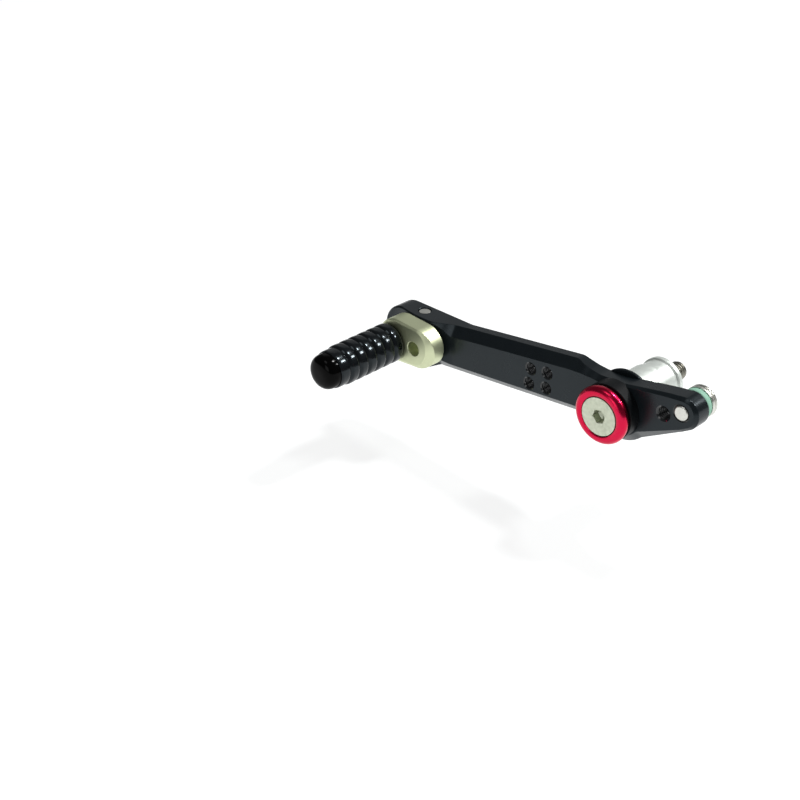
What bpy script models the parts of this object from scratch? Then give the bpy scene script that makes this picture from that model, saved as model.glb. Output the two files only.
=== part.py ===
"""Adjustable gear shift lever for a motorcycle rearset: a machined arm that swings on two ball bearings,
an eccentric plate that carries a rolling toe peg, and a linkage pin at the short end.

Axes: X from the toe peg to the linkage pin, Y along the pivot towards the motorcycle, Z up.
The origin is on the pivot axis, at the spacer's face that seats on the motorcycle's bracket.
Every lateral place below is a depth in mm behind the arm's front face; at_depth() turns it into Y.
"""

import math

import bmesh
import bpy

MM = 0.001

# Driving dimensions, in millimetres.
SEAT_DEPTH = 31.3  # the spacer's seat, behind the arm's front face
GAP = 0.3  # between pieces that touch on the real lever
SEGMENTS = 36
HIDDEN_SEGMENTS = 28

ARM_THICKNESS = 8.0
BACK_CHAMFER = 0.25
TOE_CENTRE = (-111.5, -7.05)
TOE_RADIUS = 11.25
TOE_CHAMFER = 0.7
TAIL_CENTRE = (29.8, 9.2)
TAIL_RADIUS = 6.75
TAIL_CHAMFER = 1.3
TAIL_LEAN = math.radians(31.8)  # slope of the tail's lower side, which is tangent to its round end
PAD_DEPTH = -3.0  # the toe end's raised front
HUB_RADIUS = 13.1
HUB_FRONT = 7.2
HUB_BACK = 8.4
BOSS_RADIUS = 11.7
BOSS_FRONT = -5.0
BOSS_BACK = 1.0

BEARING_BORE = 5.0
BEARING_RADIUS = 9.5
BEARING_WIDTH = 5.0
BALL_CIRCLE = 7.25
BALL_RADIUS = 1.35
BALL_COUNT = 8
FRONT_BEARING = -4.3  # front side of each bearing
REAR_BEARING = 2.5

SCREW_SHANK = 4.0
SCREW_HEAD = 7.9
SCREW_FACE = -9.83
SCREW_END = 43.0
RING_CENTRE_DEPTH = -7.6
RING_MAJOR = 9.49
RING_MINOR = 2.42

SPACER_BODY = 9.9
SPACER_NECK = 8.9
SPACER_FLANGE = 9.7

LINKAGE_PIN = (29.6, 9.57)
SPARE_LINKAGE_HOLE = (22.0, 6.4)
LINKAGE_HOLE_RADIUS = 3.3
GUARD_HOLES = ((-41.6, 0.85), (-33.3, 2.0), (-42.25, -6.0), (-33.5, -4.8))
GUARD_HOLE_RADIUS = 2.67

ECCENTRIC_AXIS = (-104.0, -6.4)
ECCENTRIC_BOSS = 7.0
PEG_AXIS = (-108.46, -6.96)
SPARE_PEG_HOLE = (-95.6, -5.96)
PEG_HOLE_RADIUS = 3.3
PLATE_FRONT = -11.7
PLATE_BACK = -3.3
PLATE_PEG_END = (-105.6, -5.9, 10.0)
PLATE_FREE_END = (-94.8, -5.85, 9.2)
SET_SCREW = (-103.1, 3.1)

PEG_RADIUS = 8.67
PEG_GROOVE = 7.9
PEG_RIBS = 7
PEG_PITCH = 5.1
PEG_BACK = -12.1
PEG_BORE = 6.3
CAP_RADIUS = 7.6
CAP_BULGE = 5.6
CAP_SQUARENESS = 3.0  # exponent of the superellipse that the cap's profile follows


def at_depth(depth):
    """World Y, in metres, of a depth behind the arm's front face."""
    return (depth - SEAT_DEPTH) * MM


# ---------------------------------------------------------------- materials


def finish(name, colour, metallic, roughness, coat=0.0):
    material = bpy.data.materials.new(name)
    material.use_nodes = True
    shader = material.node_tree.nodes["Principled BSDF"]
    shader.inputs["Base Color"].default_value = (*colour, 1.0)
    shader.inputs["Metallic"].default_value = metallic
    shader.inputs["Roughness"].default_value = roughness
    shader.inputs["Coat Weight"].default_value = coat
    material.diffuse_color = (*colour, 1.0)
    return material


def black_anodised(name):
    return finish(name, (0.012, 0.014, 0.015), 0.55, 0.32)


def gold_anodised(name):
    return finish(name, (0.45, 0.44, 0.30), 0.9, 0.38)


def red_anodised(name):
    return finish(name, (0.50, 0.005, 0.025), 0.9, 0.22)


def bright_steel(name):
    return finish(name, (0.58, 0.58, 0.55), 1.0, 0.28)


def machined_aluminium(name):
    return finish(name, (0.72, 0.73, 0.72), 1.0, 0.32)


def bearing_steel(name):
    return finish(name, (0.50, 0.50, 0.50), 1.0, 0.2)


def bronze(name):
    return finish(name, (0.42, 0.25, 0.09), 0.9, 0.4)


def black_rubber(name):
    return finish(name, (0.02, 0.02, 0.02), 0.0, 0.7)


def green_rubber(name):
    return finish(name, (0.12, 0.38, 0.22), 0.0, 0.5)


# ---------------------------------------------------------------- shape tools


def clear_scene():
    for old in list(bpy.data.objects):
        bpy.data.objects.remove(old, do_unlink=True)


def joint_axis(name, x, z):
    """An empty on a joint's axis, which the pieces of that body are parented to."""
    axis = bpy.data.objects.new(name, None)
    axis.location = (x * MM, 0.0, z * MM)
    bpy.context.collection.objects.link(axis)
    return axis


def add_object(name, mesh, x, depth, z):
    obj = bpy.data.objects.new(name, mesh)
    obj.location = (x * MM, at_depth(depth), z * MM)
    bpy.context.collection.objects.link(obj)
    return obj


def turned_mesh(name, profile, segments=SEGMENTS):
    """A closed profile of (radius, depth) points, in mm, spun once round the Y axis."""
    shape = bmesh.new()
    points = [shape.verts.new((r * MM, depth * MM, 0.0)) for r, depth in profile]
    edges = [shape.edges.new((a, b)) for a, b in zip(points, points[1:])]
    if profile[0][0] > 0:
        edges.append(shape.edges.new((points[-1], points[0])))
    bmesh.ops.spin(
        shape,
        geom=points + edges,
        cent=(0, 0, 0),
        axis=(0, 1, 0),
        angle=math.tau,
        steps=segments,
        use_merge=True,
    )
    bmesh.ops.remove_doubles(shape, verts=shape.verts, dist=1e-7)
    bmesh.ops.recalc_face_normals(shape, faces=shape.faces)
    mesh = bpy.data.meshes.new(name)
    shape.to_mesh(mesh)
    shape.free()
    mesh.shade_smooth()
    mesh.set_sharp_from_angle(angle=math.radians(30))
    return mesh


def turned(name, profile, x=0.0, z=0.0, segments=SEGMENTS):
    """A turned piece on the axis at (x, z); the profile's depths are behind the arm's front face."""
    return add_object(name, turned_mesh(name, profile, segments), x, 0.0, z)


def as_cutter(obj):
    obj.hide_render = True
    obj.display_type = "WIRE"
    return obj


def boolean(target, tool, operation="DIFFERENCE"):
    modifier = target.modifiers.new(tool.name, "BOOLEAN")
    modifier.operation = operation
    modifier.solver = "EXACT"
    modifier.object = as_cutter(tool)
    return modifier


def drill(target, x, z, radius, front, back, countersink=0.0, segments=SEGMENTS):
    """A round hole along Y between two depths, with an optional chamfer of the mouth at `front`."""
    mouth = [(0.0, front), (radius, front)]
    if countersink:
        rim = radius + countersink
        mouth = [(0.0, front - 1.0), (rim + 1.0, front - 1.0), (rim, front), (radius, front + countersink)]
    profile = mouth + [(radius, back), (0.0, back)]
    cutter = turned(f"{target.name}_hole_{len(target.modifiers)}", profile, x, z, segments)
    return boolean(target, cutter)


def hexagon_cutter(name, across_flats, front, back, x=0.0, z=0.0):
    corner = across_flats / math.sqrt(3)
    profile = [(0.0, front), (corner, front), (corner, back), (0.0, back)]
    return turned(name, profile, x, z, segments=6)


def ring_profile(inner, outer, front, back, chamfer=0.0):
    c = chamfer
    if not c:
        return [(inner, front), (outer, front), (outer, back), (inner, back)]
    return [
        (inner, front),
        (outer - c, front),
        (outer, front + c),
        (outer, back - c),
        (outer - c, back),
        (inner, back),
    ]


def arc(centre_r, centre_y, radius, start, end, count):
    """Points of a profile's arc; the angle is measured from +radius towards +depth, in degrees."""
    angles = [math.radians(start + (end - start) * i / (count - 1)) for i in range(count)]
    return [(centre_r + radius * math.cos(a), centre_y + radius * math.sin(a)) for a in angles]


def between(x, stations):
    """Straight-line interpolation through (x, value) stations."""
    if x <= stations[0][0]:
        return stations[0][1]
    for (x0, v0), (x1, v1) in zip(stations, stations[1:]):
        if x <= x1:
            return v0 + (v1 - v0) * (x - x0) / (x1 - x0)
    return stations[-1][1]


def smooth_step(x, start, end):
    t = min(max((x - start) / (end - start), 0.0), 1.0)
    return t * t * (3 - 2 * t)


# ---------------------------------------------------------------- lever arm

# Outer outline of the arm, from the toe end's centre to the tail end's centre.
ARM_TOP = (
    (TOE_CENTRE[0], TOE_CENTRE[1] + TOE_RADIUS),
    (-80.0, 4.05),
    (-21.5, 11.9),
    (-14.0, 10.4),
    (-9.0, 10.0),
    (-4.0, 10.6),
    (3.0, 11.2),
    (22.9, 15.0),
    (TAIL_CENTRE[0], TAIL_CENTRE[1] + TAIL_RADIUS),
)
BELLY_RADIUS = 15.0
ARM_BOTTOM = (
    (TOE_CENTRE[0], TOE_CENTRE[1] - TOE_RADIUS),
    (-92.0, -18.4),
    (-12.0, -10.1),
    (11.0, -10.4),
    (TAIL_CENTRE[0], TAIL_CENTRE[1] - TAIL_RADIUS / math.cos(TAIL_LEAN)),
)
# How far the front face's edge lies inside that outline, and how deep the chamfer to it goes.
TOP_DROP = (
    (-96, 0.6),
    (-92, 1.0),
    (-89, 2.2),
    (-87, 3.8),
    (-85, 5.0),
    (-82, 4.4),
    (-78, 3.8),
    (-21, 3.8),
    (-17, 2.6),
    (-12, 1.8),
    (-7, 1.9),
    (0, 1.2),
    (6, 0.8),
    (16, 0.9),
    (29, TAIL_CHAMFER),
)
TOP_SETBACK = (
    (-93.5, 0.4),
    (-91.3, 0.7),
    (-89.5, 1.1),
    (-86, 2.0),
    (-83.5, 2.7),
    (-79, 3.8),
    (-21, 3.8),
    (-17, 2.6),
    (-9, 2.0),
    (0, 1.2),
    (10, 1.4),
    (29, TAIL_CHAMFER),
)
# Depth at which the lower chamfer, which slopes at 45 degrees, reaches the underside.
BOTTOM_EDGE = ((-96.5, -4.0), (-93.5, 3.9), (8, 3.9), (11, 4.3), (25, 2.2), (29.8, 1.45))


def front_depth(x):
    """The front face: flat along the arm, and rising in an S-curve to the pad at the toe end."""
    rise = 1.0 - smooth_step(x, -96.5, -83.5)
    fall = 0.35 + 0.65 * smooth_step(x, -118.0, -101.0)
    return PAD_DEPTH * rise * fall


def arm_bottom(x):
    z = between(x, ARM_BOTTOM)
    if abs(x) < BELLY_RADIUS:
        z = min(z, -math.sqrt(BELLY_RADIUS**2 - x * x))
    return z


def arm_sections():
    """The arm's cross-sections from the toe end to the tail end: eight (x, depth, z) corners each."""
    sections = []
    end_steps = 12
    angles = [math.pi / 2 * i / end_steps for i in range(1, end_steps)]
    angles[0] *= 0.7
    for a in angles:
        sections.append(end_section(TOE_CENTRE, TOE_RADIUS, TOE_CHAMFER, -math.cos(a), math.sin(a)))
    x = TOE_CENTRE[0]
    while x < TAIL_CENTRE[0]:
        sections.append(long_section(x))
        x += section_step(x)
    for a in reversed(angles):
        across, up = math.cos(a), math.sin(a)
        sections.append(end_section(TAIL_CENTRE, TAIL_RADIUS, TAIL_CHAMFER, across, up, TAIL_LEAN))
    return sections


def section_step(x):
    """Close sections where the outline curves, wide ones where it runs straight."""
    if x < -80:
        return 1.3
    return 1.5 if abs(x) < BELLY_RADIUS else 5.0


def long_section(x):
    front = front_depth(x)
    top, bottom = between(x, ARM_TOP), arm_bottom(x)
    top_drop, top_setback = between(x, TOP_DROP), between(x, TOP_SETBACK)
    edge = max(front + TOE_CHAMFER, between(x, BOTTOM_EDGE))
    back = ARM_THICKNESS
    return [
        (x, front, top - top_drop),
        (x, front + top_setback, top),
        (x, back - BACK_CHAMFER, top),
        (x, back, top - BACK_CHAMFER),
        (x, back, bottom + BACK_CHAMFER),
        (x, back - BACK_CHAMFER, bottom),
        (x, edge, bottom),
        (x, front, bottom + edge - front),
    ]


def end_section(centre, radius, chamfer, across, up, lean=0.0):
    """A section through a rounded end, whose inner corners lie on a smaller circle. Its lower half follows
    the straight underside, which slopes by `lean`, until that touches the circle."""
    cx, cz = centre
    down = up
    if lean and across < math.sin(lean):
        down = (1 - across * math.sin(lean)) / math.cos(lean)
    upper, lower = [], []
    for inset, depth in (
        (chamfer, 0.0),
        (0.0, chamfer),
        (0.0, ARM_THICKNESS - BACK_CHAMFER),
        (BACK_CHAMFER, ARM_THICKNESS),
    ):
        r = radius - inset
        x = cx + r * across
        y = front_depth(x) + depth if depth <= chamfer else depth
        upper.append((x, y, cz + r * up))
        lower.append((x, y, cz - r * down))
    return upper + lower[::-1]


def arm_body():
    shape = bmesh.new()
    rings = [
        [shape.verts.new((x * MM, y * MM, z * MM)) for x, y, z in section] for section in arm_sections()
    ]
    for ring, following in zip(rings, rings[1:]):
        for i in range(len(ring)):
            j = (i + 1) % len(ring)
            shape.faces.new((ring[i], ring[j], following[j], following[i]))
    shape.faces.new(reversed(rings[0]))
    shape.faces.new(rings[-1])
    bmesh.ops.recalc_face_normals(shape, faces=shape.faces)
    mesh = bpy.data.meshes.new("lever_arm")
    shape.to_mesh(mesh)
    shape.free()
    mesh.shade_smooth()
    mesh.set_sharp_from_angle(angle=math.radians(20))
    return mesh


def lever_arm():
    """The machined arm: hub for the two bearings, tail for the linkage, bored toe end for the eccentric."""
    arm = add_object("lever_arm", arm_body(), 0.0, 0.0, 0.0)
    hub = turned(
        "hub_blank",
        [(0.0, HUB_FRONT), (HUB_RADIUS - 0.4, HUB_FRONT), (HUB_RADIUS, HUB_FRONT + 0.4)]
        + [(HUB_RADIUS, HUB_BACK - 0.4), (HUB_RADIUS - 0.4, HUB_BACK), (0.0, HUB_BACK)],
    )
    boss = turned(
        "boss_blank",
        [(0.0, BOSS_FRONT), (BOSS_RADIUS - 0.4, BOSS_FRONT), (BOSS_RADIUS, BOSS_FRONT + 0.4)]
        + [(BOSS_RADIUS, BOSS_BACK), (0.0, BOSS_BACK)],
    )
    boolean(arm, hub, "UNION")
    boolean(arm, boss, "UNION")
    race = BEARING_RADIUS
    shoulder = race - 1.3
    front_seat = FRONT_BEARING + BEARING_WIDTH + GAP
    rear_seat = REAR_BEARING - GAP
    bore = turned(
        "bearing_bore",
        [(0.0, BOSS_FRONT - 1.0), (race + 1.4, BOSS_FRONT - 1.0), (race, BOSS_FRONT + 0.4)]
        + [(race, front_seat), (shoulder, front_seat), (shoulder, rear_seat), (race, rear_seat)]
        + [(race, HUB_BACK + 1.0), (0.0, HUB_BACK + 1.0)],
    )
    boolean(arm, bore)
    back = ARM_THICKNESS + 1.0
    for x, z in GUARD_HOLES:
        drill(arm, x, z, GUARD_HOLE_RADIUS, 0.0, back, 0.25, 24)
    for x, z in (LINKAGE_PIN, SPARE_LINKAGE_HOLE):
        drill(arm, x, z, LINKAGE_HOLE_RADIUS, 0.0, back, 0.4, 32)
    drill(arm, *ECCENTRIC_AXIS, ECCENTRIC_BOSS + 0.15, PAD_DEPTH - 1.0, back)
    boolean(arm, set_screw_hole())
    return arm


def set_screw_hole():
    hole = turned(
        "set_screw_hole",
        [(0.0, -8.0), (3.65, -8.0), (2.85, -7.2), (2.85, 0.0), (0.0, 0.0)],
        segments=24,
    )
    x, depth = SET_SCREW
    hole.rotation_euler = (-math.pi / 2, 0.0, 0.0)
    hole.location = (x * MM, at_depth(depth), -3.2 * MM)
    return hole


# ---------------------------------------------------------------- pivot and bearings


def pivot_screw():
    neck = SCREW_HEAD - SCREW_SHANK
    screw = turned(
        "pivot_screw",
        [(0.0, SCREW_FACE), (SCREW_HEAD - 0.25, SCREW_FACE), (SCREW_HEAD, SCREW_FACE + 0.25)]
        + [(SCREW_HEAD, SCREW_FACE + 0.7), (SCREW_SHANK, SCREW_FACE + 0.7 + neck)]
        + [(SCREW_SHANK, SCREW_END - 0.9), (SCREW_SHANK - 0.9, SCREW_END), (0.0, SCREW_END)],
    )
    boolean(screw, hexagon_cutter("pivot_socket", 5.1, SCREW_FACE - 1.0, SCREW_FACE + 3.6))
    return screw


def cup_washer():
    """A ring with a rounded rim and a countersunk seat for the pivot screw's head."""
    back = RING_CENTRE_DEPTH + RING_MINOR
    nose = FRONT_BEARING - GAP
    mouth = SCREW_HEAD + GAP
    cone = SCREW_HEAD + SCREW_FACE + 0.7 + 1.4 * GAP  # radius plus depth, along the countersink
    start = -math.degrees(math.acos((mouth - RING_MAJOR) / RING_MINOR))
    rim = arc(RING_MAJOR, RING_CENTRE_DEPTH, RING_MINOR, start, 90, 12)
    bore = SCREW_SHANK + 0.4
    seat = [(bore, cone - bore), (mouth, cone - mouth)]
    return turned("cup_washer", seat + rim + [(6.2, back), (6.2, nose), (bore, nose)])


def axle_sleeve():
    return turned(
        "axle_sleeve",
        ring_profile(SCREW_SHANK + 0.15, BEARING_BORE - 0.15, FRONT_BEARING, REAR_BEARING + BEARING_WIDTH),
        segments=HIDDEN_SEGMENTS,
    )


def distance_tube():
    return turned(
        "distance_tube",
        ring_profile(BEARING_BORE + 0.15, 6.3, FRONT_BEARING + BEARING_WIDTH + GAP, REAR_BEARING - GAP),
        segments=HIDDEN_SEGMENTS,
    )


def frame_spacer():
    """The stepped spacer between the rear bearing and the motorcycle's bracket."""
    inner = SCREW_SHANK + 0.2
    nose = REAR_BEARING + BEARING_WIDTH + GAP
    start, collar, neck = HUB_BACK + GAP, 21.8, 28.8
    return turned(
        "frame_spacer",
        [(inner, nose), (6.2, nose), (6.2, start), (SPACER_BODY - 0.4, start), (SPACER_BODY, start + 0.4)]
        + [(SPACER_BODY, collar - 0.6), (SPACER_BODY - 0.6, collar), (SPACER_NECK, collar + 0.4)]
        + [(SPACER_NECK, neck), (SPACER_FLANGE - 0.3, neck + 0.4), (SPACER_FLANGE, neck + 0.7)]
        + [(SPACER_FLANGE, SEAT_DEPTH - 0.4), (SPACER_FLANGE - 0.4, SEAT_DEPTH), (inner, SEAT_DEPTH)],
    )


def bearing(prefix, front):
    """A sealed ball bearing: two races, a cage with its balls, and two shields held by the outer race."""
    middle, back = front + BEARING_WIDTH / 2, front + BEARING_WIDTH
    groove = BALL_RADIUS + 0.15
    outer_lip, inner_lip = BALL_CIRCLE + 1.1, BALL_CIRCLE - 1.1
    reach = math.degrees(math.acos(1.1 / groove))
    outer_track = arc(BALL_CIRCLE, middle, groove, reach, -reach, 5)
    inner_track = arc(BALL_CIRCLE, middle, groove, 180 + reach, 180 - reach, 5)
    outer = BEARING_RADIUS - 0.1
    outer_race = turned(
        f"{prefix}_outer_race",
        [(outer_lip, front), (outer, front), (outer, back), (outer_lip, back)] + outer_track,
        segments=HIDDEN_SEGMENTS,
    )
    inner_race = turned(
        f"{prefix}_inner_race",
        [(BEARING_BORE, front)] + [(inner_lip, front)] + inner_track
        + [(inner_lip, back), (BEARING_BORE, back)],
        segments=HIDDEN_SEGMENTS,
    )
    shields = [
        turned(
            f"{prefix}_{side}_shield",
            ring_profile(inner_lip + 0.15, outer_lip - 0.12, at, at + 0.3),
            segments=HIDDEN_SEGMENTS,
        )
        for side, at in (("outside", front + 0.15), ("inside", back - 0.45))
    ]
    cage = turned(
        f"{prefix}_ball_cage",
        ring_profile(BALL_CIRCLE - 0.45, BALL_CIRCLE + 0.45, middle - 0.7, middle + 0.7),
        segments=16,
    )
    boolean(cage, ball_set(f"{prefix}_balls", middle), "UNION")
    return outer_race, inner_race, cage, shields


def ball_set(name, middle):
    shape = bmesh.new()
    for i in range(BALL_COUNT):
        angle = math.tau * (i + 0.5) / BALL_COUNT
        made = bmesh.ops.create_icosphere(shape, subdivisions=2, radius=BALL_RADIUS * MM)
        centre = (BALL_CIRCLE * MM * math.cos(angle), middle * MM, BALL_CIRCLE * MM * math.sin(angle))
        bmesh.ops.translate(shape, verts=made["verts"], vec=centre)
    mesh = bpy.data.meshes.new(name)
    shape.to_mesh(mesh)
    shape.free()
    return add_object(name, mesh, 0.0, 0.0, 0.0)


# ---------------------------------------------------------------- eccentric plate and peg


def plate_outline(offset, count=64):
    """The plate's outline: two end circles and the tangents between them, moved in by `offset`."""
    cx, cz, small = PLATE_FREE_END
    px, pz, large = PLATE_PEG_END
    span = math.hypot(cx - px, cz - pz)
    lean = math.asin((large - small) / span)
    heading = math.atan2(cz - pz, cx - px)
    quarter = math.pi / 2 - lean
    points = []
    half = count // 2
    for i in range(half):
        a = heading - quarter + 2 * quarter * i / (half - 1)
        points.append((cx + (small - offset) * math.cos(a), cz + (small - offset) * math.sin(a), a))
    for i in range(half):
        a = heading + quarter + (math.tau - 2 * quarter) * i / (half - 1)
        points.append((px + (large - offset) * math.cos(a), pz + (large - offset) * math.sin(a), a))
    return points


def plate_chamfer(angle):
    """The chamfer is widest at the free end and thin round the peg."""
    facing = 0.5 + 0.5 * math.cos(angle + 0.35)
    return 0.5 + 2.6 * facing**2.2


def eccentric_plate():
    """The oval plate with its round boss, which turns in the arm's bore and is gripped by the set screw."""
    x0, z0 = ECCENTRIC_AXIS
    shape = bmesh.new()

    def loop(points):
        return [shape.verts.new(((x - x0) * MM, y * MM, (z - z0) * MM)) for x, y, z in points]

    front, edge = [], []
    for x, z, a in plate_outline(0.0):
        c = plate_chamfer(a)
        edge.append((x, PLATE_FRONT + 0.9 * c, z))
        front.append((x - c * math.cos(a), PLATE_FRONT, z - c * math.sin(a)))
    back_edge = [(x, PLATE_BACK - 0.4, z) for x, z, a in plate_outline(0.0)]
    back = [(x, PLATE_BACK, z) for x, z, a in plate_outline(0.4)]
    loops = [loop(points) for points in (front, edge, back_edge, back)]
    for ring, following in zip(loops, loops[1:]):
        for i in range(len(ring)):
            j = (i + 1) % len(ring)
            shape.faces.new((ring[i], ring[j], following[j], following[i]))
    shape.faces.new(loops[0])
    shape.faces.new(loops[-1])
    bmesh.ops.recalc_face_normals(shape, faces=shape.faces)
    mesh = bpy.data.meshes.new("eccentric_plate")
    shape.to_mesh(mesh)
    shape.free()
    mesh.shade_smooth()
    mesh.set_sharp_from_angle(angle=math.radians(25))
    plate = add_object("eccentric_plate", mesh, x0, 0.0, z0)
    grip = SET_SCREW[1]
    radius = ECCENTRIC_BOSS
    boss = turned(
        "eccentric_boss",
        [(0.0, PLATE_BACK - 2.0), (radius, PLATE_BACK - 2.0), (radius, grip - 2.6)]
        + [(radius - 1.2, grip - 1.6), (radius - 1.2, grip + 1.6), (radius, grip + 2.6)]
        + [(radius, ARM_THICKNESS - 0.4), (radius - 0.4, ARM_THICKNESS), (0.0, ARM_THICKNESS)],
        x0,
        z0,
    )
    boolean(plate, boss, "UNION")
    drill(plate, *PEG_AXIS, 4.05, PLATE_FRONT, -4.2, 0.3, 32)
    drill(plate, *SPARE_PEG_HOLE, PEG_HOLE_RADIUS, PLATE_FRONT, -4.2, 0.2, 32)
    return plate


def clamp_set_screw():
    """The screw that grips the eccentric's boss, its outer end a smooth low dome."""
    x, depth = SET_SCREW
    top, tip, radius = 4.05, -0.25, 2.55
    length = top - tip
    point = [(0.0, -length), (1.3, -length), (radius, 1.2 - length)]
    dome = [(radius, -0.35), (radius - 0.25, -0.12), (1.2, -0.02), (0.0, 0.0)]
    screw = turned("clamp_set_screw", point + dome, segments=24)
    # Turned about Y and then tipped, so that depth along the profile becomes height.
    screw.rotation_euler = (math.pi / 2, 0.0, 0.0)
    screw.location = (x * MM, at_depth(depth), top * MM)
    return screw


def peg_front():
    return PEG_BACK - PEG_RIBS * PEG_PITCH


def peg_sleeve():
    """The ribbed roller. Each rib is a shallow arc between two narrow grooves."""
    x, z = PEG_AXIS
    back, front = PEG_BACK - GAP, peg_front()
    pitch = (back - front) / PEG_RIBS
    outside = []
    for rib in range(PEG_RIBS):
        start = back - rib * pitch
        height = 1.0 if rib < PEG_RIBS - 1 else 0.35  # the last rib, beside the cap, is a low one
        for share in (0.0, 0.12, 0.5, 0.88):
            crest = height * (1.0 - (2 * share - 1) ** 4)
            outside.append((PEG_GROOVE + (PEG_RADIUS - PEG_GROOVE) * crest, start - share * pitch))
    outside.append((PEG_GROOVE, front))
    mouth = front + 6.9
    inside = [(7.0, front), (7.0, mouth), (PEG_BORE, mouth), (PEG_BORE, back)]
    return turned("peg_sleeve", outside + inside, x, z)


def peg_bush(name, start, length):
    """A flangeless plain bush; its depths run towards the front."""
    x, z = PEG_AXIS
    return turned(name, ring_profile(5.1, PEG_BORE - 0.15, start - length, start, 0.2), x, z, HIDDEN_SEGMENTS)


def peg_bolt():
    """The shoulder bolt that the sleeve rolls on, screwed into the plate."""
    x, z = PEG_AXIS
    head_front, head_back = peg_front() + 2.6, peg_front() + 6.6
    bolt = turned(
        "peg_bolt",
        [(0.0, head_front), (6.2, head_front), (6.5, head_front + 0.3), (6.5, head_back), (4.95, head_back)]
        + [(4.95, PLATE_FRONT - 0.35), (3.75, PLATE_FRONT - 0.35), (3.75, -4.9), (3.2, -4.4), (0.0, -4.4)],
        x,
        z,
        HIDDEN_SEGMENTS,
    )
    boolean(bolt, hexagon_cutter("peg_bolt_socket", 5.0, head_front - 1.0, head_front + 2.4, x, z))
    return bolt


def peg_thrust_washer():
    x, z = PEG_AXIS
    profile = ring_profile(5.2, 7.2, PLATE_FRONT - 0.65, PLATE_FRONT - 0.1)
    return turned("peg_thrust_washer", profile, x, z, HIDDEN_SEGMENTS)


def peg_end_cap():
    """A domed cap with a plug that presses into the sleeve's mouth."""
    x, z = PEG_AXIS
    front = peg_front()
    seat, power = front - GAP, 2 / CAP_SQUARENESS
    dome = [(0.0, seat - CAP_BULGE)]
    for i in range(1, 11):
        a = math.pi / 2 * i / 10
        dome.append((CAP_RADIUS * math.sin(a) ** power, seat - CAP_BULGE * max(math.cos(a), 0.0) ** power))
    plug = [(6.85, seat), (6.85, front + 2.2), (5.6, front + 2.2), (5.6, front - 1.5), (0.0, front - 1.5)]
    return turned("peg_end_cap", dome + plug, x, z)


# ---------------------------------------------------------------- linkage pin


def linkage_pin():
    """A pin screwed through the tail from behind, with a grooved collar for the shift rod."""
    x, z = LINKAGE_PIN
    start, end, groove = 11.1, 14.1, 12.9
    return turned(
        "linkage_pin",
        [(0.0, -0.3), (2.6, -0.3), (3.0, 0.1), (3.0, start), (6.1, start), (6.4, start + 0.3)]
        + [(6.4, groove - 0.3), (5.9, groove), (6.4, groove + 0.3)]
        + [(6.4, end - 0.4), (6.0, end), (0.0, end)],
        x,
        z,
        HIDDEN_SEGMENTS,
    )


def linkage_seal():
    x, z = LINKAGE_PIN
    profile = ring_profile(3.2, 6.3, ARM_THICKNESS + GAP, 10.8, 0.3)
    return turned("linkage_seal", profile, x, z, HIDDEN_SEGMENTS)


# ---------------------------------------------------------------- assembly


def dress(obj, axis, material):
    """Gives a piece its material and hangs it on its joint's axis, with its cutters."""
    obj.data.materials.append(material)
    helpers = [m.object for m in obj.modifiers if m.type == "BOOLEAN"]
    for piece in [obj, *helpers]:
        place = piece.matrix_basis.translation.copy()
        piece.parent = axis
        piece.location = place - axis.location


def build():
    clear_scene()
    pivot = joint_axis("pivot_axis", 0.0, 0.0)
    eccentric = joint_axis("eccentric_axis", *ECCENTRIC_AXIS)
    peg = joint_axis("peg_axis", *PEG_AXIS)

    dress(pivot_screw(), pivot, bright_steel("pivot_screw_nickel"))
    dress(cup_washer(), pivot, red_anodised("cup_washer_red"))
    dress(axle_sleeve(), pivot, bright_steel("axle_sleeve_steel"))
    dress(distance_tube(), pivot, machined_aluminium("distance_tube_aluminium"))
    dress(frame_spacer(), pivot, machined_aluminium("frame_spacer_aluminium"))
    for prefix, front in (("front_bearing", FRONT_BEARING), ("rear_bearing", REAR_BEARING)):
        outer_race, inner_race, cage, shields = bearing(prefix, front)
        dress(outer_race, pivot, bearing_steel(f"{prefix}_outer_steel"))
        dress(inner_race, pivot, bearing_steel(f"{prefix}_inner_steel"))
        dress(cage, pivot, bearing_steel(f"{prefix}_cage_steel"))
        for shield in shields:
            dress(shield, pivot, black_rubber(f"{shield.name}_rubber"))

    dress(lever_arm(), pivot, black_anodised("lever_arm_black"))
    dress(clamp_set_screw(), pivot, bright_steel("set_screw_steel"))
    dress(linkage_pin(), pivot, bright_steel("linkage_pin_steel"))
    dress(linkage_seal(), pivot, green_rubber("linkage_seal_green"))

    dress(eccentric_plate(), eccentric, gold_anodised("eccentric_plate_gold"))
    dress(peg_bolt(), eccentric, bright_steel("peg_bolt_steel"))
    dress(peg_thrust_washer(), eccentric, black_rubber("peg_thrust_washer_black"))

    dress(peg_sleeve(), peg, black_anodised("peg_sleeve_black"))
    dress(peg_bush("peg_bush_inner", PEG_BACK - 0.8, 9.0), peg, bronze("peg_bush_inner_bronze"))
    dress(peg_bush("peg_bush_outer", peg_front() + 16.5, 9.0), peg, bronze("peg_bush_outer_bronze"))
    dress(peg_end_cap(), peg, black_rubber("peg_end_cap_black"))


build()
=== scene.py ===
"""The looks of a motorcycle gear shift lever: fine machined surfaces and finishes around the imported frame.

Lengths are millimetres in the frame's axes and become metres when a surface is made into a mesh.
X runs from the toe peg to the linkage pin, Y along the pivot towards the motorcycle, Z up.
"""

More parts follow.
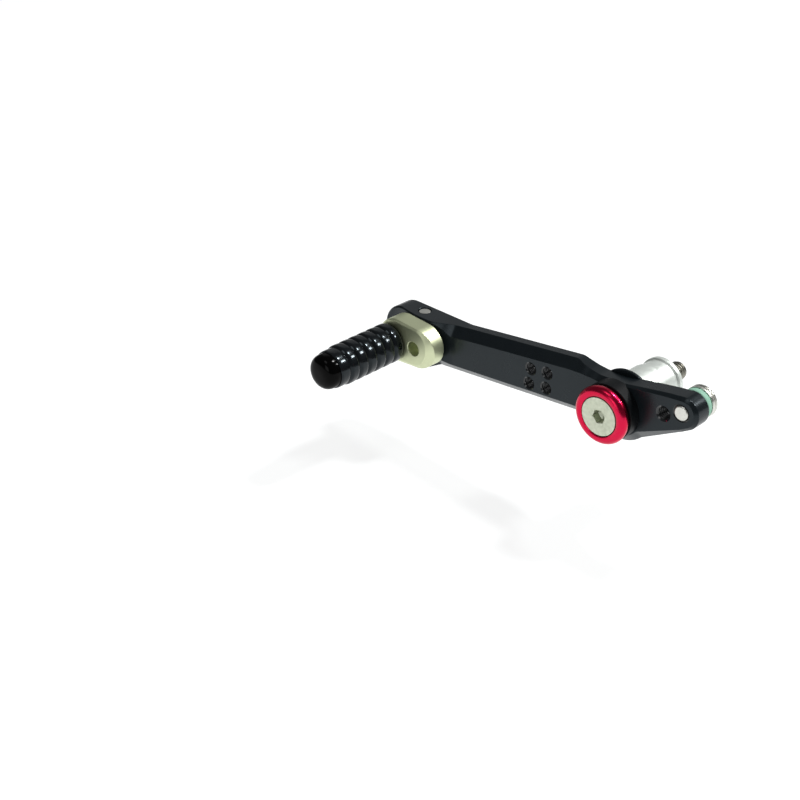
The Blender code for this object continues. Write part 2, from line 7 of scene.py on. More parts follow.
import bmesh
import bpy
import numpy as np
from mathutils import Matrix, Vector


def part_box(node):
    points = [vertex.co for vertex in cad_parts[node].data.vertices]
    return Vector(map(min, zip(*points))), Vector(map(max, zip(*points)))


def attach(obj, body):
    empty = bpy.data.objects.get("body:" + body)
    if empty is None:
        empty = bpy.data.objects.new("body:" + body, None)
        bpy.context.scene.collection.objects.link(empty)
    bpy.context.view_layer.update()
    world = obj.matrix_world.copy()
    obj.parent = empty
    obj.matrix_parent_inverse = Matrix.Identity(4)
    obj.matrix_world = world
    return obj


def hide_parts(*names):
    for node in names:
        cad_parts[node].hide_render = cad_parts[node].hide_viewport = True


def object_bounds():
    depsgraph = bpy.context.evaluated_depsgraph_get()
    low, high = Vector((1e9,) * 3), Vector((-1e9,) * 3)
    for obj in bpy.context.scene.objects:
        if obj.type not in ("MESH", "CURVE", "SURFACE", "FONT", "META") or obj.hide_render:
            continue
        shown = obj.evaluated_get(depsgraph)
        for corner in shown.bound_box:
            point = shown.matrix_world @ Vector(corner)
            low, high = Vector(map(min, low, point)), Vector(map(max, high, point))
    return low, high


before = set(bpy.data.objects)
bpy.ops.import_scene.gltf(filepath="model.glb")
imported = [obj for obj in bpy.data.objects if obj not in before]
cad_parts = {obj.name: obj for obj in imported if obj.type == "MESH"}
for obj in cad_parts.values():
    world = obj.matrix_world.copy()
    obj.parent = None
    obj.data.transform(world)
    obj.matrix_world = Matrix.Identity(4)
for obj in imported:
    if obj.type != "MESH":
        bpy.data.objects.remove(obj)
cad_low, cad_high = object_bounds()

MM = 0.001
TURN = 2 * np.pi


class Place:
    """Where a round CAD piece lies: its axis (x, z), its radius, and its front and back along Y."""

    def __init__(self, node):
        low, high = (np.array(corner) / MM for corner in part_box(node))
        self.x, self.z = (low + high)[[0, 2]] / 2
        self.radius = (high - low)[0] / 2
        self.front, self.back = low[1], high[1]


arm_box = Place("lever_arm")
pivot = Place("pivot_screw")
ring = Place("cup_washer")
spacer = Place("frame_spacer")
plate_box = Place("eccentric_plate")
peg = Place("peg_sleeve")
cap = Place("peg_end_cap")
link_pin = Place("linkage_pin")
link_seal = Place("linkage_seal")
grip_screw = Place("clamp_set_screw")

# The arm's front face lies this far behind its boss, and its back face this far in front of its hub.
BOSS_STANDS = 5.0
HUB_STANDS = 0.4
FACE = arm_box.front + BOSS_STANDS
ARM_THICKNESS = arm_box.back - HUB_STANDS - FACE


# ---------------------------------------------------------------- surfaces


def skin(name, rings, body, node=None, closed=False):
    """A surface through a stack of rings, given as an array [ring, point, xyz].

    Point j of ring i is joined to point j of ring i + 1 and to point j + 1 of its own ring, and each ring
    closes on itself. A ring that shrinks to a point or a line becomes a pole or a seam, because points that
    coincide are merged. With `closed`, the last ring is joined to the first.
    """
    count, around = rings.shape[:2]
    i = np.arange(count if closed else count - 1)[:, None]
    j = np.arange(around)[None, :]
    here, there = i * around, (i + 1) % count * around
    after = (j + 1) % around
    quads = np.stack([here + j, here + after, there + after, there + j], axis=-1).reshape(-1, 4)
    mesh = bpy.data.meshes.new(name)
    mesh.from_pydata((rings.reshape(-1, 3) * MM).tolist(), [], quads.tolist())
    shape = bmesh.new()
    shape.from_mesh(mesh)
    bmesh.ops.remove_doubles(shape, verts=shape.verts, dist=1e-7)
    bmesh.ops.recalc_face_normals(shape, faces=shape.faces)
    shape.to_mesh(mesh)
    shape.free()
    piece = bpy.data.objects.new(name, mesh)
    bpy.context.scene.collection.objects.link(piece)
    if node:
        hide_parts(node)
        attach(piece, body)
    return piece


def curved_corners(corners, ease, steps):
    """Each corner of closed outlines [..., corner, coordinate] turned into a row of `steps` points.

    The row is a quadratic Bezier from `ease` before the corner to `ease` after it, with the corner as its
    control point, and never takes more than 0.45 of a side. `ease` is one number or one for each corner.
    """
    corners = np.asarray(corners, float)
    ease = np.broadcast_to(ease, corners.shape[-2])[:, None]

    def towards(neighbours):
        side = neighbours - corners
        length = np.maximum(np.linalg.norm(side, axis=-1, keepdims=True), 1e-9)
        return (corners + side * np.minimum(ease / length, 0.45))[..., None, :]

    first, last = towards(np.roll(corners, 1, axis=-2)), towards(np.roll(corners, -1, axis=-2))
    t = np.linspace(0, 1, steps)[:, None]
    return (1 - t) ** 2 * first + 2 * t * (1 - t) * corners[..., None, :] + t**2 * last


def eased(corners, ease, steps=5):
    """The outline [corner, 2] with its corners curved, as one row of points."""
    return curved_corners(corners, ease, steps).reshape(-1, 2)


def revolve(profile, x=0.0, z=0.0, around=120):
    """Rings of a turned surface: profile rows (radius, y) carried round the axis at (x, z)."""
    radius, y = np.asarray(profile, float).T
    angle = np.arange(around) / around * TURN
    circle = np.stack([np.cos(angle), np.zeros(around), np.sin(angle)], axis=-1)
    return radius[:, None, None] * circle + np.array([x, 0, z]) + y[:, None, None] * np.array([0, 1, 0])


def arc(radius_at, y_at, size, start, end, steps):
    """Profile points on a circle; the angle runs from +radius towards +y, in degrees."""
    angle = np.radians(np.linspace(start, end, steps))
    return np.stack([radius_at + size * np.cos(angle), y_at + size * np.sin(angle)], axis=-1)


def thread_depth(angle, y, pitch, depth):
    """How far a right-hand thread's surface lies below its crest: a triangle wave of y / pitch less the
    share of a turn passed, flattened at crest and root and rounded between them."""
    phase = (y / pitch - angle / TURN) % 1.0
    wave = np.clip((np.abs(2 * phase - 1) - 0.12) / 0.76, 0, 1)
    return depth * wave**2 * (3 - 2 * wave)


def threaded(front, back, crest, depth, pitch, x=0.0, z=0.0, around=48, inward=False, runout=1.0):
    """Rings of a helical thread between two depths. The thread fades to a plain cylinder within `runout`
    of each end. With `inward` the crests point at the axis, as a tapped hole's do."""
    y = np.linspace(front, back, int((back - front) / pitch * 14))
    angle = np.arange(around) / around * TURN
    cut = thread_depth(angle[None, :], y[:, None], pitch, depth)
    ends = np.clip(np.minimum(y - front, back - y) / runout, 0, 1)[:, None]
    radius = crest + cut * ends if inward else crest - cut * ends - depth * (1 - ends) * 0.5
    return np.stack(
        [x + radius * np.cos(angle), np.broadcast_to(y[:, None], radius.shape), z + radius * np.sin(angle)],
        axis=-1,
    )


def hexagon(apothem, angle):
    """Radius of a hexagon's wall at each angle: its apothem over the cosine of the angle off the flat."""
    return apothem / np.cos((angle + np.pi / 6) % (np.pi / 3) - np.pi / 6)


def socket_rings(x, z, face, apothem, depth, lead, around, tilt=0.0):
    """Rings of a hexagon socket, from the rim of its conical lead-in to the drill point at its bottom."""
    angle = np.arange(around) / around * TURN
    wall = hexagon(apothem, angle + tilt)
    rim = np.full(around, apothem * 2 / np.sqrt(3) + lead)
    mouth = face + (rim - wall) * 0.6
    floor = np.full(around, face + depth)
    radii = [rim, wall, wall, wall * 0.97, np.zeros(around)]
    depths = [np.full(around, face), mouth, floor - 0.12, floor, floor + apothem * 0.45]
    return np.stack(
        [np.stack([x + r * np.cos(angle), y, z + r * np.sin(angle)], axis=-1) for r, y in zip(radii, depths)]
    )


def finish_edges(piece, sharp=38.0):
    """Smooth shading that stops at sharp edges, with flat faces kept flat by weighting normals by area."""
    piece.data.shade_smooth()
    piece.data.set_sharp_from_angle(angle=np.radians(sharp))
    flats = piece.modifiers.new("flats_stay_flat", "WEIGHTED_NORMAL")
    flats.weight = 90
    flats.keep_sharp = True
    return piece


def machined(blank, joined=(), cut=()):
    """The blank with some solids joined to it and others cut out of it; the tools are then removed."""
    for operation, tools in (("UNION", joined), ("DIFFERENCE", cut)):
        for tool in tools:
            step = blank.modifiers.new(tool.name, "BOOLEAN")
            step.operation = operation
            step.object = tool
    graph = bpy.context.evaluated_depsgraph_get()
    mesh = bpy.data.meshes.new_from_object(blank.evaluated_get(graph))
    blank.modifiers.clear()
    blank.data = mesh
    for tool in (*joined, *cut):
        bpy.data.objects.remove(tool)
    return blank


# ---------------------------------------------------------------- lever arm

TOE_CENTRE = (-111.5, -7.05)
TOE_RADIUS = 11.25
TOE_CHAMFER = 0.7
TAIL_CENTRE = (29.8, 9.2)
TAIL_RADIUS = 6.75
TAIL_CHAMFER = 1.3
TAIL_LEAN = np.radians(31.8)  # slope of the tail's underside, which is tangent to its round end
PAD_STANDS = 3.0
BACK_CHAMFER = 0.25
BELLY_RADIUS = 15.0

# The hub and boss round the pivot; the hub starts and the boss ends this far behind the arm's front face.
HUB_RADIUS = 13.1
HUB_START = 7.2
BOSS_RADIUS = 11.7
BOSS_END = 1.0

# The bearing bore: two seats and a narrower shoulder between them, at depths behind the boss's face.
BEARING_RADIUS = 9.5
SHOULDER_RADIUS = 8.2
SHOULDER_START = 6.0
SHOULDER_END = 7.2

# The eccentric's bore, and the tapped holes: places (x, z), and crest radius, root radius and pitch.
ECCENTRIC_AXIS = (-104.0, -6.4)
ECCENTRIC_BORE_RADIUS = 7.15
GUARD_HOLES = ((-41.6, 0.85), (-33.3, 2.0), (-42.25, -6.0), (-33.5, -4.8))
GUARD_THREAD = (2.3, 2.67, 0.8)
SPARE_LINK_HOLE = (22.0, 6.4)
SPARE_LINK_THREAD = (2.65, 3.25, 1.0)
LINK_THREAD = (3.1, 3.3, 1.0)

# Stations (x, value) along the arm: its outline, and how its long chamfers run.
ARM_TOP = (
    (-111.5, 4.2), (-80.0, 4.05), (-21.5, 11.9), (-14.0, 10.4), (-9.0, 10.0), (-4.0, 10.6), (3.0, 11.2),
    (22.9, 15.0), (29.8, 15.95),
)
TAIL_FOOT = TAIL_CENTRE[1] - TAIL_RADIUS / np.cos(TAIL_LEAN)
ARM_BOTTOM = (
    (-111.5, -18.3), (-92.0, -18.4), (-12.0, -10.1), (11.0, -10.4),
    (29.8, TAIL_FOOT), (33.0, TAIL_FOOT + 2),
)
TOP_DROP = (
    (-96, 0.6), (-92, 1.0), (-89, 2.2), (-87, 3.8), (-85, 5.0), (-82, 4.4), (-78, 3.8), (-21, 3.8),
    (-17, 2.6), (-12, 1.8), (-7, 1.9), (0, 1.2), (6, 0.8), (16, 0.9), (29, TAIL_CHAMFER),
)
TOP_SETBACK = (
    (-93.5, 0.4), (-91.3, 0.7), (-89.5, 1.1), (-86, 2.0), (-83.5, 2.7), (-79, 3.8), (-21, 3.8),
    (-17, 2.6), (-9, 2.0), (0, 1.2), (10, 1.4), (29, TAIL_CHAMFER),
)
# Depth at which the lower chamfer, which slopes at 45 degrees, reaches the underside.
BOTTOM_EDGE = ((-96.5, -4.0), (-93.5, 3.9), (8, 3.9), (11, 4.3), (25, 2.2), (29.8, 1.45))


def smooth_step(x, start, end):
    t = np.clip((x - start) / (end - start), 0, 1)
    return t * t * (3 - 2 * t)


def along(x, stations, blend=1.2):
    """Values between stations, averaged over a triangle `blend` wide to each side, so bends are soft."""
    at, value = np.array(stations, float).T
    offset = np.linspace(-1, 1, 9) * blend
    weight = 1.05 - np.abs(offset) / blend
    return np.interp(x[:, None] + offset, at, value) @ weight / weight.sum()


def front_depth(x):
    """The front face: flat along the arm, and rising in an S-curve to the pad at the toe end."""
    rise = 1 - smooth_step(x, -96.5, -83.5)
    fall = 0.35 + 0.65 * smooth_step(x, -118.0, -101.0)
    return -PAD_STANDS * rise * fall


def belly(x):
    """The lower outline, with the round belly under the pivot let into it."""
    dip = -np.sqrt(np.maximum(BELLY_RADIUS**2 - x**2, 0))
    return np.minimum(along(x, ARM_BOTTOM, 0.8), np.where(np.abs(x) < BELLY_RADIUS, dip, 99.0))


def long_corners(x):
    """Eight section corners (x, y, z) at each x, clockwise from the front face's upper edge."""
    front, back = front_depth(x), np.full(len(x), ARM_THICKNESS)
    top, bottom = along(x, ARM_TOP), belly(x)
    drop, setback = along(x, TOP_DROP, 0.8), along(x, TOP_SETBACK, 0.8)
    edge = np.maximum(front + TOE_CHAMFER, along(x, BOTTOM_EDGE, 0.4))
    corners = [
        (front, top - drop),
        (front + setback, top),
        (back - BACK_CHAMFER, top),
        (back, top - BACK_CHAMFER),
        (back, bottom + BACK_CHAMFER),
        (back - BACK_CHAMFER, bottom),
        (edge, bottom),
        (front, bottom + edge - front),
    ]
    return np.stack([np.stack([x, y, z], axis=-1) for y, z in corners], axis=1)


def end_corners(centre, radius, chamfer, angle, side, lean=0.0):
    """Section corners round an end: at each angle the corners lie on circles of the end's radius, less its
    chamfer at the faces. The angle runs from the end's tip (0) to where the long part starts (90). The lower
    half follows the straight underside, which slopes by `lean`, until that touches the circle."""
    angle = np.radians(angle)[:, None]
    reach = radius - np.array([chamfer, 0, 0, BACK_CHAMFER])[None, :]
    across, up = side * np.cos(angle), np.sin(angle)
    down = np.where(across < np.sin(lean), (1 - across * np.sin(lean)) / np.cos(lean), up) if lean else up
    x = centre[0] + reach * across
    face = front_depth(x)
    back = np.full_like(x, ARM_THICKNESS)
    y = np.stack([face[:, 0], face[:, 1] + chamfer, back[:, 2] - BACK_CHAMFER, back[:, 3]], axis=-1)
    upper = np.stack([x, y, centre[1] + reach * up], axis=-1)
    lower = np.stack([x, y, centre[1] - reach * down], axis=-1)[:, ::-1]
    return np.concatenate([upper, lower], axis=1)


def rounded_sections(corners, ease=0.22, steps=4):
    """Each section of [section, corner, xyz] with its corners curved, as one ring of points."""
    return curved_corners(corners, ease, steps).reshape(len(corners), -1, 3)


def tapped_cutter(name, x, z, front, back, crest, root, pitch, lead=0.45):
    """A cutter for a tapped hole: a helical thread, wider than the crests by its conical lead-in."""
    thread = threaded(front + lead, back - lead, crest, root - crest, pitch, x, z, 40, inward=True)
    mouth = revolve([(0, front - 1), (root + lead + 1, front - 1), (crest, front + lead)], x, z, 40)
    tail = revolve([(crest, back - lead), (root + lead + 1, back + 1), (0, back + 1)], x, z, 40)
    return skin(name, np.concatenate([mouth, thread, tail]), None)


def arm_blank():
    """The arm's sections, carried from the toe end along the arm and round to the tail end."""
    toe = end_corners(TOE_CENTRE, TOE_RADIUS, TOE_CHAMFER, np.linspace(0, 86, 30), -1)
    x = np.concatenate([np.arange(TOE_CENTRE[0], -75, 0.4), np.arange(-75, TAIL_CENTRE[0], 0.8)])
    tail = end_corners(TAIL_CENTRE, TAIL_RADIUS, TAIL_CHAMFER, np.linspace(86, 0, 30), 1, TAIL_LEAN)
    corners = np.concatenate([toe, long_corners(x), tail])
    rings = rounded_sections(corners) + np.array([0, FACE, 0])
    return skin("arm", rings, "lever", "lever_arm")


def bearing_bore(front, back):
    """A cutter for the pivot's stepped bore: a chamfer at each face and a shoulder between the seats."""
    bore = [
        (0, front - 1),
        (BEARING_RADIUS + 1.6, front - 1),
        (BEARING_RADIUS, front + 0.6),
        (BEARING_RADIUS, front + SHOULDER_START),
        (SHOULDER_RADIUS, front + SHOULDER_START),
        (SHOULDER_RADIUS, front + SHOULDER_END),
        (BEARING_RADIUS, front + SHOULDER_END),
        (BEARING_RADIUS, back - 0.5),
        (BEARING_RADIUS + 1.5, back + 1),
        (0, back + 1),
    ]
    return skin("bearing_bore", revolve(bore), None)


def plain_disc(radius, front, back):
    """Profile of a solid disc."""
    return [(0, front), (radius, front), (radius, back), (0, back)]


def lever_arm():
    """The arm with its hub and boss joined on, and its bores, tapped holes and set-screw hole cut."""
    arm = arm_blank()
    front, back = FACE - BOSS_STANDS, FACE + ARM_THICKNESS + HUB_STANDS
    rear = FACE + ARM_THICKNESS
    hub = eased(plain_disc(HUB_RADIUS, FACE + HUB_START, back), (0, 0.4, 0.4, 0))
    boss = eased(plain_disc(BOSS_RADIUS, front, FACE + BOSS_END), (0, 0.4, 0, 0))
    eccentric_bore = plain_disc(ECCENTRIC_BORE_RADIUS, FACE - 5, FACE + 9)
    joined = [
        skin("hub_blank", revolve(hub), None),
        skin("boss_blank", revolve(boss), None),
    ]
    cut = [
        bearing_bore(front, back),
        skin("eccentric_bore", revolve(eccentric_bore, *ECCENTRIC_AXIS), None),
        tapped_cutter("linkage_hole", link_pin.x, link_pin.z, FACE, rear, *LINK_THREAD),
        tapped_cutter("spare_linkage_hole", *SPARE_LINK_HOLE, FACE, rear, *SPARE_LINK_THREAD),
        set_screw_hole(),
    ]
    cut += [
        tapped_cutter(f"guard_hole_{i}", x, z, FACE, rear, *GUARD_THREAD)
        for i, (x, z) in enumerate(GUARD_HOLES)
    ]
    return finish_edges(machined(arm, joined, cut), 30)


def set_screw_hole():
    """The tapped hole in the toe end's top, turned about Z: a plain bore with a conical mouth."""
    mouth, bore = 3.9, 2.8
    top, seat, bottom = 5.2, 4.0, -3.2
    radius = np.array([0, mouth, bore, bore, 0])
    z = np.array([top, top, seat, bottom, bottom])
    angle = np.arange(48) / 48 * TURN
    middle = (grip_screw.front + grip_screw.back) / 2
    flat = np.stack([np.cos(angle), np.sin(angle), np.zeros(48)], axis=-1)
    rings = radius[:, None, None] * flat + np.array([grip_screw.x, middle, 0])
    rings[..., 2] += z[:, None]
    return skin("set_screw_hole", rings, None)


# ---------------------------------------------------------------- pivot


def pivot_screw():
    """Countersunk screw: socket, flat head, cone, shank, and a real thread on the end that stands out."""
    head, shank, face = pivot.radius, 4.0, pivot.front
    thread_start = spacer.back - 3.2
    socket = socket_rings(0, 0, face, apothem=2.55, depth=3.6, lead=0.2, around=120, tilt=0.28)[::-1]
    front = [
        (head - 0.3, face),
        (head - 0.08, face + 0.06),
        (head, face + 0.3),
        (head, face + 0.65),
        (head - 0.06, face + 0.78),
        (shank, face + 0.7 + head - shank),
        (shank, thread_start),
    ]
    thread = threaded(thread_start, pivot.back - 0.9, shank, depth=0.7, pitch=1.25, around=120)
    end = [
        (shank - 0.45, pivot.back - 0.85),
        (shank - 1.2, pivot.back - 0.1),
        (shank - 1.4, pivot.back),
        (0, pivot.back),
    ]
    rings = np.concatenate([socket, revolve(front), thread, revolve(end)])
    return finish_edges(skin("pivot_bolt", rings, "axle", "pivot_screw"), 32)


def cup_washer():
    """The ring round the screw's head: a rolled rim, a countersunk seat and a nose against the bearing."""
    tube, hole, nose_radius = 2.42, 4.4, 6.2
    middle = ring.radius - tube
    crown = ring.front + tube
    mouth = pivot.radius + 0.3
    cone = pivot.radius + pivot.front + 1.12
    start = -np.degrees(np.arccos((mouth - middle) / tube))
    seat = [(hole, cone - hole), (mouth, cone - mouth)]
    nose = [(nose_radius, crown + tube), (nose_radius, ring.back), (hole, ring.back)]
    profile = np.concatenate([seat, arc(middle, crown, tube, start, 90, 40), nose])
    rings = revolve(profile, around=160)
    return finish_edges(skin("red_ring", rings, "axle", "cup_washer", True))


def frame_spacer():
    """The stepped spacer: a body, a waist and a flange, with eased steps and a run-out groove."""
    hole, nose, waist = 4.2, 6.2, 8.9
    body, flange = spacer.radius, spacer.radius - 0.2
    seat = spacer.back
    collar, neck = seat - 9.5, seat - 2.5
    start = arm_box.back + 0.3
    corners = [
        (hole, spacer.front),
        (nose, spacer.front),
        (nose, start),
        (body, start),
        (body, collar),
        (waist, collar + 0.5),
        (waist, neck),
        (flange, neck + 0.5),
        (flange, seat),
        (hole, seat),
    ]
    ease = (0.2, 0.2, 0.1, 0.4, 0.5, 0.3, 0.3, 0.25, 0.35, 0.3)
    rings = revolve(eased(corners, ease, 6), around=144)
    return finish_edges(skin("spacer", rings, "axle", "frame_spacer", True))


# ---------------------------------------------------------------- eccentric plate and peg

FREE_END = (-94.8, -5.85, 9.2)
PEG_END = (-105.6, -5.9, 10.0)
PLATE_BACK = FACE - 3.3
SPARE_PEG_HOLE = (-95.6, -5.96)


def plate_outline(offset, half=72):
    """Rows (x, z, heading) round two end circles and their common tangents, moved in by `offset`.

    Each end circle is walked through the angles that its tangents leave; `offset` may differ by point."""
    cx, cz, small = FREE_END
    px, pz, large = PEG_END
    span = np.hypot(cx - px, cz - pz)
    lean = np.arcsin((large - small) / span)
    heading = np.arctan2(cz - pz, cx - px)
    quarter = np.pi / 2 - lean
    free = heading + np.linspace(-quarter, quarter, half)
    far = heading + quarter + np.linspace(0, TURN - 2 * quarter, half)
    angle = np.concatenate([free, far])
    radius = np.repeat([small, large], half) - offset
    centre = np.repeat([[cx, cz], [px, pz]], half, axis=0)
    return centre[:, 0] + radius * np.cos(angle), centre[:, 1] + radius * np.sin(angle), angle


def eccentric_plate():
    """The oval plate: a chamfer that widens at the free end, thin edges behind, and a boss into the arm."""
    _, _, angle = plate_outline(0.0)
    chamfer = 0.5 + 2.6 * (0.5 + 0.5 * np.cos(angle + 0.35)) ** 2.2
    front = plate_box.front

    def loop(inset, y):
        x, z, _ = plate_outline(inset)
        return np.stack([x, np.broadcast_to(y, x.shape), z], axis=-1)

    slope = 0.9 * chamfer
    soft = 0.14
    loops = [
        loop(chamfer + soft, front),
        loop(chamfer, front + 0.03),
        loop(chamfer - soft, front + 0.9 * soft + 0.02),
        loop(soft, front + slope - 0.9 * soft + 0.02),
        loop(0.03, front + slope + 0.02),
        loop(0.0, front + slope + soft),
        loop(0.0, PLATE_BACK - 0.4),
        loop(0.06, PLATE_BACK - 0.2),
        loop(0.2, PLATE_BACK - 0.06),
        loop(0.4, PLATE_BACK),
    ]
    middle = np.array([FREE_END[0] - 7, 0, FREE_END[1] - 0.5])
    centre_front = np.broadcast_to(middle + [0, front, 0], loops[0].shape)
    centre_back = np.broadcast_to(middle + [0, PLATE_BACK, 0], loops[0].shape)
    rings = np.stack([centre_front, *loops, centre_back])
    plate = skin("gold_plate", rings, "eccentric", "eccentric_plate")
    grip = (grip_screw.front + grip_screw.back) / 2
    outside, groove = 7.0, 5.8
    boss = [
        (0, PLATE_BACK - 2),
        (outside, PLATE_BACK - 2),
        (outside, grip - 2.6),
        (groove, grip - 1.6),
        (groove, grip + 1.6),
        (outside, grip + 2.6),
        (outside, plate_box.back),
        (0, plate_box.back),
    ]
    boss = revolve(eased(boss, (0, 0, 0.2, 0.3, 0.3, 0.2, 0.4, 0)), *ECCENTRIC_AXIS)
    joined = [skin("eccentric_boss", boss, None)]
    depth = front + 7.5
    bore, spare_bore = 4.05, 3.2
    peg_hole = [(0, front - 1), (bore + 1.3, front - 1), (bore, front + 0.3), (bore, depth), (0, depth)]
    spare_hole = [
        (0, front - 1),
        (spare_bore + 1.15, front - 1),
        (spare_bore, front + 0.2),
        (spare_bore, depth),
        (0, depth + 1.2),
    ]
    cut = [
        skin("peg_hole", revolve(peg_hole, peg.x, peg.z, 96), None),
        skin("spare_peg_hole", revolve(spare_hole, *SPARE_PEG_HOLE, 96), None),
    ]
    return finish_edges(machined(plate, joined, cut), 30)


def peg_sleeve():
    """The ribbed roller: each rib is a full arch between two narrow grooves, the last one, beside the cap,
    a low one; the mouth takes the cap's plug."""
    ribs, groove, steps = 7, 7.9, 14
    pitch = (peg.back - peg.front) / ribs
    share = np.linspace(0, 1, steps, endpoint=False)
    crest = (peg.radius - groove) * (1 - (2 * share - 1) ** 4)
    heights = np.append(np.ones(ribs - 1), 0.35)
    outside = np.concatenate(
        [
            np.stack([groove + height * crest, peg.back - (k + share) * pitch], axis=-1)
            for k, height in enumerate(heights)
        ]
    )
    mouth, bore, step = 7.0, 6.3, peg.front + 6.9
    inside = [(groove, peg.front), (mouth, peg.front), (mouth, step), (bore, step), (bore, peg.back)]
    rings = revolve(np.concatenate([outside, inside]), peg.x, peg.z, 144)
    return finish_edges(skin("ribbed_peg", rings, "peg_roller", "peg_sleeve", True), 50)


def peg_end_cap():
    """The domed cap: a superellipse of exponent `squareness`, where 2 is an ellipse, with a hollow plug."""
    squareness = 3.0
    seat = peg.front - 0.05
    bulge = seat - cap.front
    angle = np.linspace(0, np.pi / 2, 60)
    power = 2 / squareness
    cosine = np.clip(np.cos(angle), 0, 1)
    dome = np.stack([cap.radius * np.sin(angle) ** power, seat - bulge * cosine**power], axis=-1)
    outside, inside, crown = 6.85, 5.6, seat - 1.2
    plug = [
        (cap.radius, seat),
        (outside, seat),
        (outside, cap.back),
        (inside, cap.back),
        (inside, crown),
        (0, crown),
    ]
    rings = revolve(np.concatenate([dome, plug]), cap.x, cap.z, 144)
    return finish_edges(skin("domed_cap", rings, "peg_roller", "peg_end_cap"), 50)


# ---------------------------------------------------------------- linkage pin and set screw


def linkage_pin():
    """The pin: a plain end in the tail's front face, a shank, and a collar with a groove behind the tail."""
    x, z, front = link_pin.x, link_pin.z, link_pin.front
    start, end = link_seal.back + 0.3, link_pin.back
    shank, rim = 3.0, link_pin.radius
    groove = rim - 0.7
    corners = [
        (0, front),
        (shank - 0.4, front),
        (shank, front + 0.4),
        (shank, start),
        (rim, start),
        (rim, end - 1.7),
        (groove, end - 1.4),
        (groove, end - 1.0),
        (rim, end - 0.7),
        (rim, end),
        (0, end),
    ]
    ease = (0, 0.2, 0.2, 0, 0.3, 0.15, 0.1, 0.1, 0.15, 0.35, 0)
    rings = revolve(eased(corners, ease), x, z)
    return finish_edges(skin("link_pin", rings, "lever", "linkage_pin"), 40)


def linkage_seal():
    """The soft ring between tail and collar, its outside bowed a little."""
    inner, outer = 3.2, link_seal.radius
    front, back = link_seal.front, link_seal.back
    share = np.linspace(0, 1, 12)
    bow = np.stack([outer - 0.25 * (2 * share - 1) ** 4, front + share * (back - front)], axis=-1)
    profile = np.concatenate([[(inner, front)], bow, [(inner, back)]])
    rings = revolve(profile, link_seal.x, link_seal.z)
    return finish_edges(skin("link_ring", rings, "lever", "linkage_seal", True), 50)


def clamp_set_screw():
    """The screw in the toe end's top, made along Y and then stood upright along Z: its outer end is a low
    dome, then comes the thread and a cone point."""
    low, high = (np.array(corner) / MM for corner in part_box("clamp_set_screw"))
    length, radius = high[2] - low[2], grip_screw.radius
    share = np.linspace(0, 1, 16)
    dome = revolve(np.stack([(radius - 0.3) * share, 0.14 * share**2], axis=-1), around=96)
    edge = revolve([(radius - 0.1, 0.22), (radius, 0.42)], around=96)
    body = threaded(0.45, length - 1.3, radius, 0.35, 0.8, around=96, runout=0.3)
    tip = revolve([(radius - 0.35, length - 1.2), (1.3, length), (0, length)], around=96)
    rings = np.concatenate([dome, edge, body, tip])
    middle = (grip_screw.front + grip_screw.back) / 2
    x, y, z = rings[..., 0] + grip_screw.x, rings[..., 2] + middle, high[2] - rings[..., 1]
    upright = np.stack([x, y, z], axis=-1)
    return finish_edges(skin("grub_screw", upright, "lever", "clamp_set_screw"), 32)


# ---------------------------------------------------------------- materials


